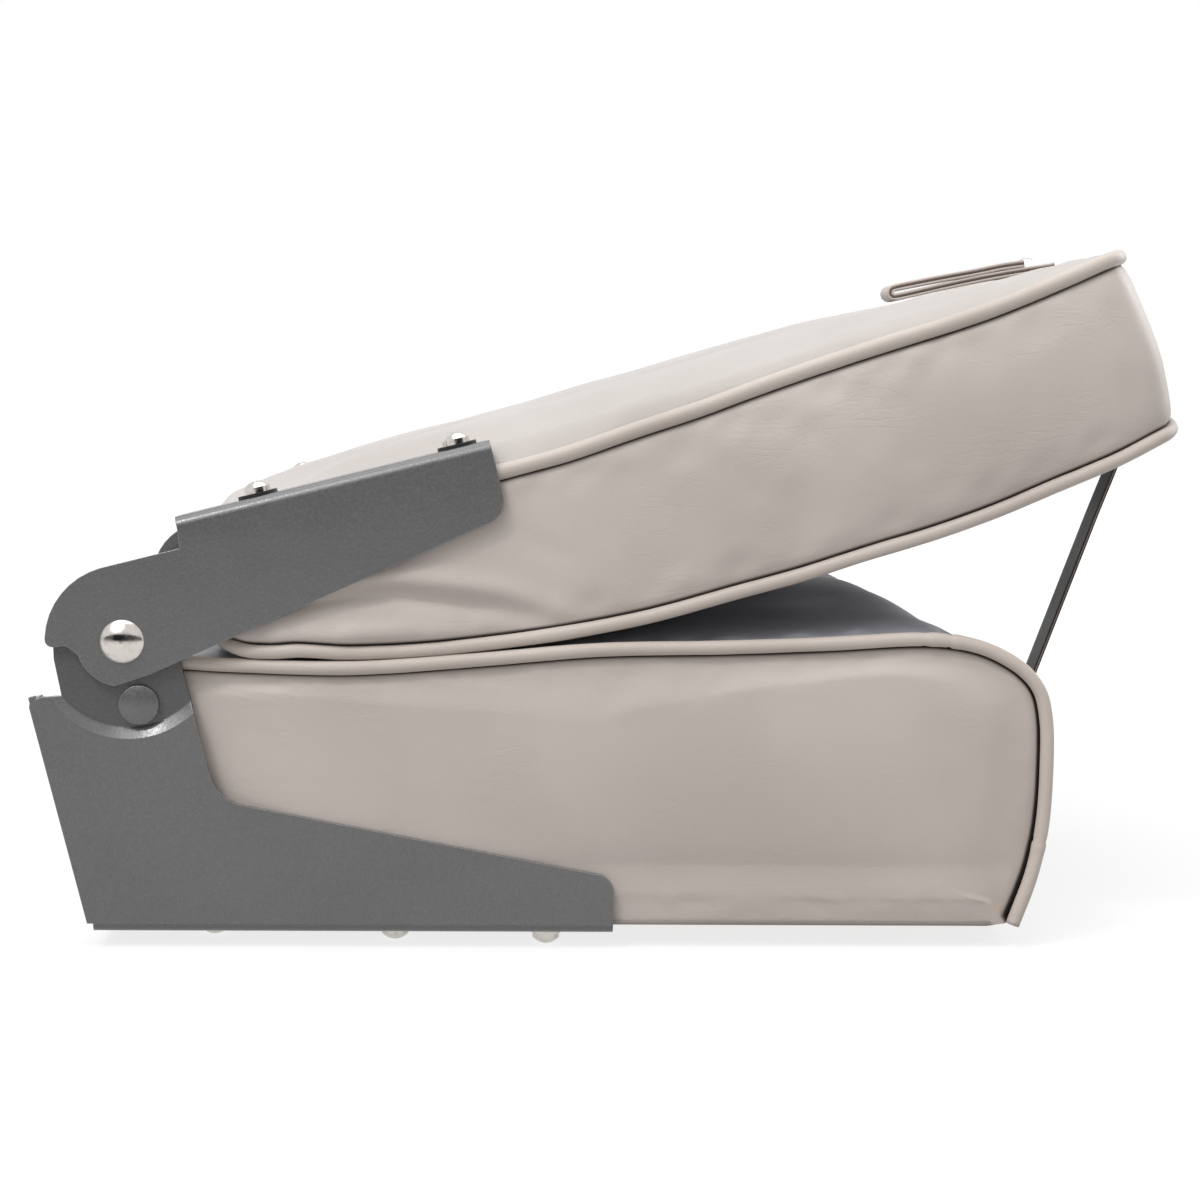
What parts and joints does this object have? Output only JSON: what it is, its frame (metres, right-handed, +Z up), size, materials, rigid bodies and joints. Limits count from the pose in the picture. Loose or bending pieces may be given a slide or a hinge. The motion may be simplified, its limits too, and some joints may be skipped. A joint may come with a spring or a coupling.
{
  "type": "boat seat",
  "caption": "Folding boat seat with padded vinyl seat and backrest cushions on side hinge brackets, shown folded and held by a strap.",
  "frame": {"origin": "centre of the pedestal bolt pattern on the underside of the seat's base board", "axes": "+X to the front of the seat, +Y to the sitter's left, +Z up"},
  "size_m": [0.5547, 0.4382, 0.3318],
  "materials": {
    "plywood": "matte",
    "foam": "matte",
    "charcoal_vinyl": "satin",
    "strap_vinyl": "satin",
    "grey_vinyl": "satin",
    "bracket_paint": "satin",
    "rivet_chrome": "polished",
    "nylon": "matte",
    "black_washer": "satin",
    "steel": "polished"
  },
  "bodies": {
    "seat": {"seat_base_board": "plywood", "seat_foam": "foam", "seat_top_panel": "charcoal_vinyl", "seat_side_panel_left": "grey_vinyl", "seat_side_panel_right": "grey_vinyl", "seat_piping_left": "grey_vinyl", "seat_piping_right": "grey_vinyl", "seat_hem": "charcoal_vinyl", "seat_staples": "steel", "seat_mount_tee_nuts": "steel", "seat_bracket_tee_nuts": "steel", "lower_bracket_left": "bracket_paint", "lower_bracket_right": "bracket_paint", "seat_bracket_screws": "steel", "seat_bracket_washers": "steel", "pivot_rivet_left": "rivet_chrome", "pivot_rivet_right": "rivet_chrome", "stop_rivet_left": "bracket_paint", "stop_rivet_right": "bracket_paint", "strap_anchor_tail": "strap_vinyl", "strap_anchor_screw": "steel", "pivot_washers": "nylon"},
    "backrest": {"hinge_arm_left": "bracket_paint", "hinge_arm_right": "bracket_paint", "backrest_board": "plywood", "backrest_foam": "foam", "backrest_rear_pad": "foam", "backrest_front_panel": "charcoal_vinyl", "backrest_boxing": "grey_vinyl", "backrest_back_panel": "grey_vinyl", "backrest_front_piping": "grey_vinyl", "backrest_back_piping": "grey_vinyl", "backrest_screws": "steel", "backrest_washers": "black_washer", "backrest_inserts": "steel", "pull_tab": "grey_vinyl", "pull_tab_snap": "steel", "strap_press_stud": "steel"},
    "strap": {"tie_down_strap": "strap_vinyl", "strap_snap_cap": "steel"}
  },
  "joints": [
    {"name": "back_fold", "type": "hinge", "parent": "seat", "child": "backrest", "pos_m": [-0.2153, 0, 0.127], "axis": [0, -1, 0], "range_deg": [0, 81]},
    {"name": "strap_swing", "type": "hinge", "parent": "seat", "child": "strap", "pos_m": [0.21246, 0, -0.002], "axis": [0, 1, 0], "range_deg": [0, 64]}
  ],
  "couplings": [
    {"joint": "strap_swing", "follows": "back_fold", "ratio": 0.79}
  ]
}
